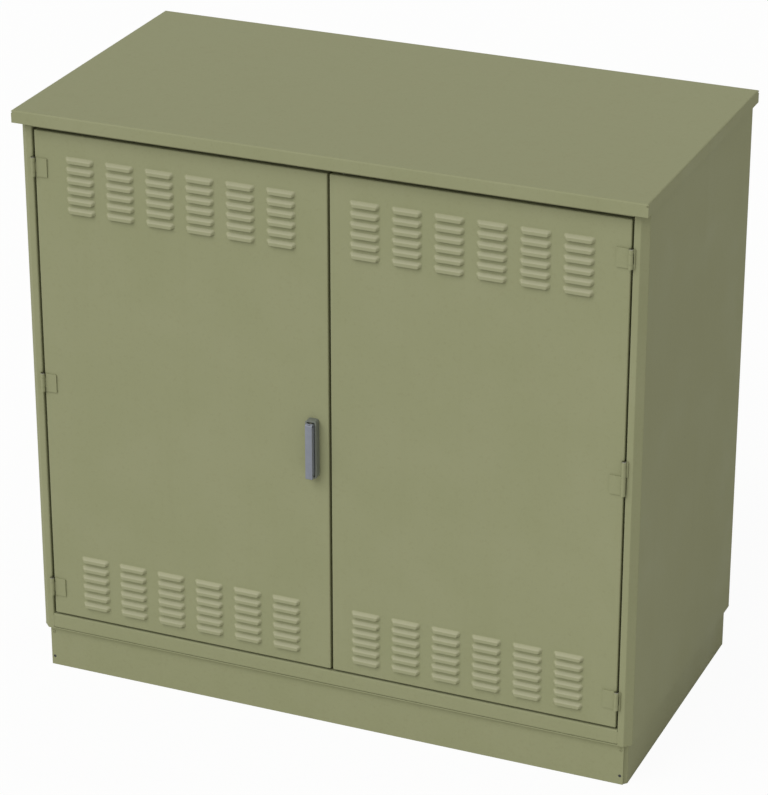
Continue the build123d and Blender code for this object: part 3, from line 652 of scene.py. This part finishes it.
# The left door has a hole for each lock rod and for the handle's boss, the right door one for
# each slide bolt, without its knob: as deep as the bolt is wide
def makeDoorSkins():
    low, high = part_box("left_door_skin")
    leftHoles = [
        holeThrough(*narrowEnd(*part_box(rod)), z)
        for rod, z in (("upper_lock_rod", high.z), ("lower_lock_rod", low.z))
    ]
    nut = middleOf("handle_nut")
    half = doorSkin["bossHole"]
    holeFront, holeBack = (low.y + depth for depth in doorSkin["bossHoleSpan"])
    leftHoles.append((
        (nut.x - half, holeFront, nut.z - half),
        (nut.x + half, holeBack, nut.z + half),
    ))
    boltLow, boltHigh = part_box("upper_slide_bolt")
    boltEnd = Vector((boltHigh.x, boltLow.y + boltHigh.x - boltLow.x, boltHigh.z))
    rightHoles = [holeThrough(boltLow, boltEnd, z) for z in (low.z, high.z)]
    makeDoorSkin("left", -1, leftHoles)
    makeDoorSkin("right", 1, rightHoles)


makeDoorSkins()
print("door skins made")


# Swing handle: a dished base, and a lever that lies over the dish

handle = {
    "baseDepth": 0.014,
    "rim": 0.0034,
    "dish": 0.0045,
    "dishSlope": 0.0006,
    "corner": 0.005,
    "softEdge": 0.0008,
    "boreRadius": 0.0042,
    "boreLength": 0.06,
    "bossRadius": 0.008,
    "bossLength": 0.009,
    "bossBack": 0.008,
    "bossEdge": 0.0006,
    "leverEnd": 0.00495,
    "leverEdge": 0.0016,
    "leverTip": 0.002,
    "scoop": 0.0035,
    "scoopHeight": 0.014,
    "forkWidth": 0.0068,
    "forkDepth": 0.0125,
    "forkSkin": 0.0012,
    "forkOpening": 0.0006,
}

# Which edges of the lever's outline are softened, by their distance from its sides
leverOutline = {"fromFront": 0.0052, "fromTop": 0.005, "fromTip": 0.0025, "fromBack": 0.001}


def spindleBore(spindle, front):
    middle = (spindle.x, front, spindle.z)
    length = handle["boreLength"]
    return cylinderFacingFront("spindleBore", handle["boreRadius"], length, middle, 32)


# The boss passes through the door skin to its nut
def makeBoss(spindle, front):
    back = front + handle["bossBack"]
    length = handle["bossLength"]
    middle = (spindle.x, back - length / 2, spindle.z)
    boss = cylinderFacingFront("handleBoss", handle["bossRadius"], length, middle, 40)
    roundEdges(boss, atDepth(back), handle["bossEdge"], 2)
    cutAway(boss, [spindleBore(spindle, front)])
    return boss


def makeHandle():
    low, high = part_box("handle_base")
    front = doorFront()
    rimFront = front - handle["baseDepth"]
    base = block("handleBase", (low.x, rimFront, low.z), (high.x, front, high.z))
    roundEdges(base, lambda a, b: abs(a.y - b.y) > longEdge, handle["corner"], 6)
    pickFaces(base, lambda centre, normal: normal.y < -facing)
    bpy.ops.mesh.inset(thickness=handle["rim"])
    bpy.ops.mesh.inset(thickness=handle["dishSlope"], depth=-handle["dish"])
    bpy.ops.object.mode_set(mode="OBJECT")
    roundEdges(base, atDepth(rimFront), handle["softEdge"], 2)
    spindle = middleOf("handle_spindle")
    cutAway(base, [spindleBore(spindle, front)])
    joinPieces([base, makeBoss(spindle, front)])
    finishPiece(base, "left_door", "handle_base", "handle_base")


def makeLever():
    low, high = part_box("handle_lever")
    lever = block("handleLever", low, high)

    def alongX(a, b):
        return abs(a.x - b.x) > longEdge

    def atTip(a, b):
        return alongX(a, b) and max(a.z, b.z) < low.z + sameSpot

    def onOutline(a, b):
        offBack = max(a.y, b.y) < high.y - leverOutline["fromBack"]
        nearFront = min(a.y, b.y) < low.y + leverOutline["fromFront"]
        onFront = min(a.y, b.y) < low.y + sameSpot
        onTop = max(a.z, b.z) > high.z - leverOutline["fromTop"]
        onTip = min(a.z, b.z) < low.z + leverOutline["fromTip"]
        acrossX = abs(a.x - b.x) < sameSpot
        return acrossX and offBack and nearFront and (onFront or onTop or onTip)

    # Round at the top, about its pin, and scooped at the back of its tip for a finger
    roundEdges(lever, lambda a, b: alongX(a, b) and a.z > high.z - sameSpot, handle["leverEnd"], 6)
    bpy.ops.object.mode_set(mode="EDIT")
    bpy.ops.mesh.select_all(action="SELECT")
    bpy.ops.mesh.bisect(plane_co=(0, 0, low.z + handle["scoopHeight"]), plane_no=(0, 0, 1))
    bpy.ops.object.mode_set(mode="OBJECT")
    pickEdges(lever, lambda a, b: atTip(a, b) and a.y > high.y - sameSpot)
    bpy.ops.transform.translate(value=(0, -2 * handle["scoop"], 0))
    bpy.ops.object.mode_set(mode="OBJECT")
    roundEdges(lever, lambda a, b: atTip(a, b) and a.y < low.y + sameSpot, handle["leverTip"], 3)
    roundEdges(lever, onOutline, handle["leverEdge"], 3)

    # Its fork is open at the back, and at the top from just in front of the pin
    spindle = middleOf("handle_spindle")
    half = handle["forkWidth"] / 2
    pinDepth = (high.y - low.y) / 2
    bottom = high.z - pinDepth - handle["forkDepth"]
    inside = (low.y + handle["forkSkin"], high.z - handle["forkSkin"])
    opening = (low.y + pinDepth - handle["forkOpening"], high.z + pastEdge)
    cutAway(lever, [
        block(name, (spindle.x - half, front, bottom), (spindle.x + half, high.y + pastEdge, top))
        for name, (front, top) in (("forkInside", inside), ("forkOpening", opening))
    ])
    finishPiece(lever, "lever", "handle_lever", "handle_lever")


makeHandle()
makeLever()
print("handle made")


# Bulb seals round the inside of each door

sealStrip = {"width": 0.009, "bulbRadius": 0.0036, "smoothAngle": 60}


def makeSeal(side):
    node = side + "_door_seal"
    low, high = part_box(node)

    # The mitres at the corners stay sharp
    def onBulb(a, b):
        straight = abs(a.z - b.z) < sameSpot or abs(a.x - b.x) < sameSpot
        return straight and min(a.y, b.y) > high.y - sameSpot

    seal = sheetFacingFront(side + "DoorSeal", low.x, high.x, low.z, high.z, low.y)
    pickFaces(seal, lambda centre, normal: True)
    bpy.ops.mesh.inset(thickness=sealStrip["width"])
    bpy.ops.mesh.delete(type="FACE")
    bpy.ops.mesh.select_all(action="SELECT")
    bpy.ops.mesh.extrude_region_move(TRANSFORM_OT_translate={"value": (0, high.y - low.y, 0)})
    bpy.ops.object.mode_set(mode="OBJECT")
    roundEdges(seal, onBulb, sealStrip["bulbRadius"], 5)
    finishPiece(seal, side + "_door", "seal_rubber", node, sealStrip["smoothAngle"])


# Pleated filter mats, one behind each bank of louvres

mats = {
    "pleats": 46,
    "depth": 0.0055,
    "wall": 0.0014,
    "height": 0.118,
    "gap": 0.001,
    "smoothAngle": 70,
}


def makeMats(side):
    node = side + "_filter_mats"
    low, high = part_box(node)
    left, right = low.x + mats["gap"], high.x - mats["gap"]
    step = (right - left) / (2 * mats["pleats"])

    def onBackFold(a, b):
        return abs(a.x - b.x) < sameSpot and round((a.x - left) / step) % 2 == 1

    parts = []
    for bottom in (low.z, high.z - mats["height"]):
        lowEnd, highEnd = bottom + mats["gap"], bottom + mats["height"] - mats["gap"]
        mat = sheetFacingFront(side + "Mat", left, right, lowEnd, highEnd, low.y + mats["wall"])
        bpy.ops.object.mode_set(mode="EDIT")
        for fold in range(1, 2 * mats["pleats"]):
            bpy.ops.mesh.select_all(action="SELECT")
            bpy.ops.mesh.bisect(plane_co=(left + fold * step, 0, 0), plane_no=(1, 0, 0))
        bpy.ops.object.mode_set(mode="OBJECT")
        pickEdges(mat, onBackFold)
        bpy.ops.transform.translate(value=(0, mats["depth"], 0))
        bpy.ops.object.mode_set(mode="OBJECT")
        applyModifier(mat, "SOLIDIFY", thickness=mats["wall"], offset=-1)
        parts.append(mat)
    joinPieces(parts)
    parts[0].name = side + "FilterMats"
    finishPiece(parts[0], side + "_door", "filter_fleece", node, mats["smoothAngle"])


for doorSide in ("left", "right"):
    makeSeal(doorSide)
    makeMats(doorSide)
print("seals and filters made")


# Dressed welds where the header and the sill meet the stiles, flush with the front

seamWelds = {"width": 0.0034, "overlap": 0.0006, "sink": 0.0022, "endGap": 0.003, "soft": 0.0004}


def makeSeamWelds():
    size = seamWelds
    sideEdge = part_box("sill")[1].x
    for node in ("header", "sill"):
        low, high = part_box(node)
        bottom, top = low.z + size["endGap"], high.z - size["endGap"]
        for hand, name in ((-1, "Left"), (1, "Right")):
            inner = hand * (sideEdge - size["overlap"])
            outer = hand * (sideEdge + size["width"])
            weld = block(
                f"{node}Weld{name}",
                (min(inner, outer), low.y, bottom),
                (max(inner, outer), low.y + size["sink"], top),
            )
            roundEdges(
                weld,
                lambda a, b: min(a.y, b.y) < low.y + sameSpot and abs(a.z - b.z) > longEdge,
                size["soft"],
                2,
            )
            finishPiece(weld, "cabinet", "painted_sheet")


makeSeamWelds()
print("seam welds made")


# Plinth corners: painted button-head screws in the upper holes, and dark rubber discs sunk in the
# lower ones as painted shade, so that those holes read dark

plinthScrews = {
    "inset": 0.006,
    "up": 0.073,
    "radius": 0.0034,
    "height": 0.0016,
    "crown": 0.0015,
    "socketRadius": 0.0012,
    "socketLength": 0.003,
    "plugUp": 0.018,
    "plugRadius": 0.0029,
    "plugDepth": 0.0014,
    "plugSink": 0.0004,
    "smoothAngle": 30,
}


def makePlinthScrew(name, x, face, outwards):
    size = plinthScrews
    outer = face + outwards * size["height"]
    middle = (x, face + outwards * size["height"] / 2, size["up"])
    screw = cylinderFacingFront(name, size["radius"], size["height"], middle, 28)
    roundEdges(screw, atDepth(outer), size["crown"], 4)
    place = (x, outer, size["up"])
    length = size["socketLength"]
    cutAway(screw, [cylinderFacingFront("socket", size["socketRadius"], length, place, 6)])
    finishPiece(screw, "cabinet", "painted_sheet", angle=size["smoothAngle"])


# Painted shade: a dark disc just inside a lower hole stands in for the shade in it
def makeShadePlug(name, x, face, outwards):
    size = plinthScrews
    middle = (x, face - outwards * (size["plugSink"] + size["plugDepth"] / 2), size["plugUp"])
    plug = cylinderFacingFront(name, size["plugRadius"], size["plugDepth"], middle, 24)
    finishPiece(plug, "cabinet", "seal_rubber", angle=size["smoothAngle"])


for node, outwards, end in (("plinth_front", -1, "Front"), ("plinth_rear", 1, "Rear")):
    low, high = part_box(node)
    face = low.y if outwards < 0 else high.y
    inset = plinthScrews["inset"]
    for x, hand in ((low.x + inset, "Left"), (high.x - inset, "Right")):
        makePlinthScrew(f"plinthScrew{end}{hand}", x, face, outwards)
        makeShadePlug(f"plinthShadePlug{end}{hand}", x, face, outwards)
print("plinth screws made")


# Floor, light and camera

stage = {
    "floorSize": 60,
    "floorColour": linear(231, 231, 227),
    "seenColour": (1, 1, 1, 1),
    "seenShare": 0.95,
    "skyStrength": 0.5,
    "skyColour": (1.0, 0.985, 0.94, 1),
    "keyStrength": 1.82,
    "keyPlace": (-2, -4, 4),
    "keyTilt": (radians(47), 0, radians(-25)),
    "keyAngle": radians(50),
    "keyColour": (0.97, 0.985, 1.0),
    "cameraPlace": (2.223, -5.301, 3.178),
    "cameraTilt": (radians(65.42), 0, radians(22.85)),
    "cameraLens": 151.3,
    "cameraSensor": 36,
    "cameraReach": 200,
}


# The share of the rays that see the floor and the sky as plain white
def seenDirectly(tree):
    rays = addNode(tree, "ShaderNodeLightPath")
    share = rays.outputs["Is Camera Ray"]
    for name in ("Is Glossy Ray", "Is Transmission Ray"):
        either = addNode(tree, "ShaderNodeMath", operation="MAXIMUM")
        tree.links.new(share, either.inputs[0])
        tree.links.new(rays.outputs[name], either.inputs[1])
        share = either.outputs[0]
    return share


def mixShaders(tree, share, first, second, output):
    mix = addNode(tree, "ShaderNodeMixShader")
    tree.links.new(share, mix.inputs[0])
    tree.links.new(first.outputs[0], mix.inputs[1])
    tree.links.new(second.outputs[0], mix.inputs[2])
    tree.links.new(mix.outputs[0], tree.nodes[output].inputs[0])


# A little of the floor's own shade is left in what is seen, so that it keeps the shadow
def makeFloor():
    deselectAll()
    bpy.ops.mesh.primitive_plane_add(size=stage["floorSize"], location=(0, 0, 0))
    floor = bpy.context.object
    floor.name = "studioFloor"
    material = bpy.data.materials.new("studioFloor")
    material.use_nodes = True
    tree = material.node_tree
    tree.nodes.remove(tree.nodes["Principled BSDF"])
    matt = addNode(tree, "ShaderNodeBsdfDiffuse", Color=stage["floorColour"])
    glow = addNode(tree, "ShaderNodeEmission", Color=stage["seenColour"], Strength=1.0)
    share = addNode(tree, "ShaderNodeMath", operation="MULTIPLY")
    share.inputs[1].default_value = stage["seenShare"]
    tree.links.new(seenDirectly(tree), share.inputs[0])
    mixShaders(tree, share.outputs[0], matt, glow, "Material Output")
    floor.data.materials.append(material)


def makeLight():
    world = bpy.data.worlds.new("studio")
    world.use_nodes = True
    bpy.context.scene.world = world
    tree = world.node_tree
    lit = tree.nodes["Background"]
    lit.inputs["Color"].default_value = stage["skyColour"]
    lit.inputs["Strength"].default_value = stage["skyStrength"]
    seen = addNode(tree, "ShaderNodeBackground", Color=stage["seenColour"], Strength=1.0)
    mixShaders(tree, seenDirectly(tree), lit, seen, "World Output")
    deselectAll()
    bpy.ops.object.light_add(type="SUN", rotation=stage["keyTilt"], location=stage["keyPlace"])
    lamp = bpy.context.object
    lamp.name = "keyLight"
    lamp.data.energy = stage["keyStrength"]
    lamp.data.angle = stage["keyAngle"]
    lamp.data.color = stage["keyColour"]


def makeCamera():
    deselectAll()
    bpy.ops.object.camera_add(location=stage["cameraPlace"], rotation=stage["cameraTilt"])
    camera = bpy.context.object
    camera.data.lens = stage["cameraLens"]
    camera.data.sensor_width = stage["cameraSensor"]
    camera.data.clip_end = stage["cameraReach"]
    bpy.context.scene.camera = camera


makeFloor()
makeLight()
makeCamera()
bpy.context.scene.view_settings.view_transform = "Standard"
print("floor, light and camera set")
